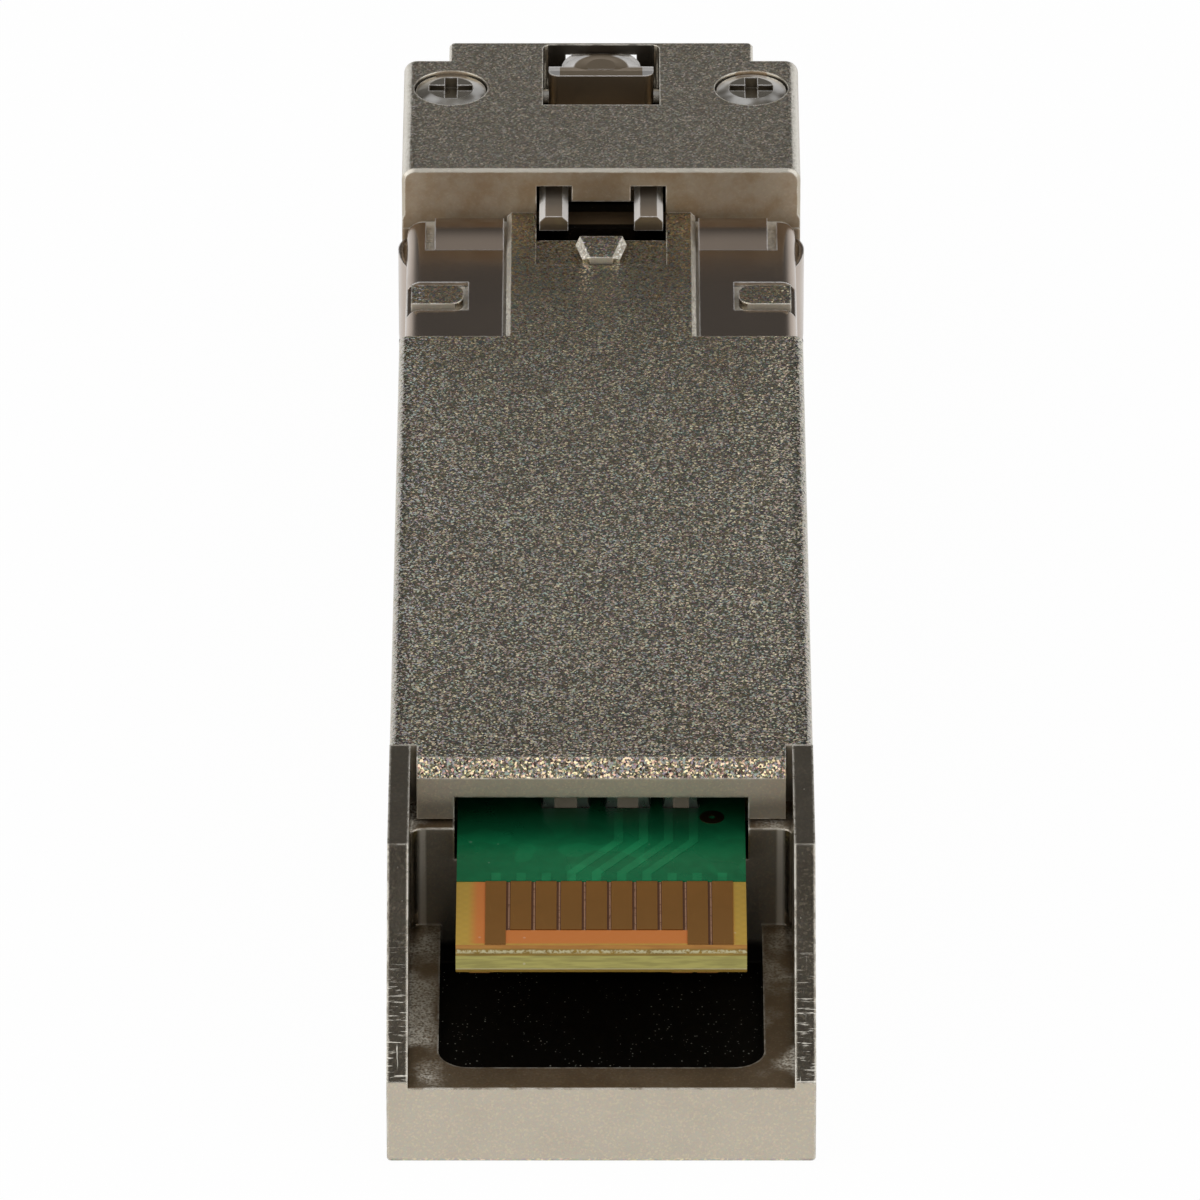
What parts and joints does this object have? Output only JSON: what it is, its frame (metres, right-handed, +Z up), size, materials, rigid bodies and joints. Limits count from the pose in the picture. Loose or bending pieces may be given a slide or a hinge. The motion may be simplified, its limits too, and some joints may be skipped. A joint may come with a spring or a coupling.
{
  "type": "sfp plus transceiver",
  "caption": "Small pluggable optical transceiver: plated cast housing, spring collar, wire bail with sliding release, optical ports and an edge-contact board.",
  "frame": {"origin": "centre of the overall box, on the flat top cover that the module lies on", "axes": "+X across the module, +Y along it towards the nose with the optical ports, +Z up towards the latch side"},
  "size_m": [0.0138, 0.059, 0.0102],
  "materials": {
    "top_casting": "nickel plated zinc casting, satin with fine grain",
    "bottom_casting": "nickel plated zinc casting, satin with fine grain",
    "spring_sheet": "rolled spring sheet, smooth",
    "slider_metal": "nickel plated, satin",
    "bail_wire": "drawn wire, bright",
    "grip_plastic": "moulded, beige",
    "screw_steel": "nickel plated, bright",
    "board_laminate": "green solder mask on glass laminate",
    "contact_gold": "hard gold plating",
    "barrel_steel": "turned",
    "sleeve_ceramic": "polished white ceramic",
    "can_metal": "gold flashed can",
    "flex_film": "amber film with copper",
    "retainer_plastic": "moulded, black",
    "chip_package": "moulded epoxy",
    "pad_silicone": "soft silicone",
    "capacitor_ceramic": "fired ceramic with tinned ends",
    "resistor_body": "dark film on ceramic with tinned ends"
  },
  "bodies": {
    "housing": {"top_housing": "top_casting", "bottom_housing": "bottom_casting", "emi_collar": "spring_sheet", "nose_screws": "screw_steel", "circuit_board": "board_laminate", "edge_contacts": "contact_gold", "transmitter_barrel": "barrel_steel", "transmitter_sleeve": "sleeve_ceramic", "transmitter_can": "can_metal", "transmitter_flex": "flex_film", "receiver_barrel": "barrel_steel", "receiver_sleeve": "sleeve_ceramic", "receiver_can": "can_metal", "receiver_flex": "flex_film", "optics_retainer": "retainer_plastic", "laser_driver": "chip_package", "receive_amplifier": "chip_package", "controller": "chip_package", "memory_chip": "chip_package", "thermal_pad": "pad_silicone", "tail_capacitors": "capacitor_ceramic", "chip_capacitors": "capacitor_ceramic", "chip_resistors": "resistor_body"},
    "bail": {"bail": "bail_wire", "bail_grip": "grip_plastic"},
    "slider": {"release_slider": "slider_metal"}
  },
  "joints": [
    {"name": "bail_hinge", "type": "hinge", "parent": "housing", "child": "bail", "pos_m": [0, 0.02643, 0.0084], "axis": [1, 0, 0], "range_deg": [0, 90]},
    {"name": "slider_slide", "type": "slide", "parent": "housing", "child": "slider", "axis": [0, -1, 0], "range_m": [0, 0.00105]}
  ],
  "couplings": [
    {"joint": "bail_hinge", "follows": "slider_slide", "rad_per_m": 1495.9}
  ]
}
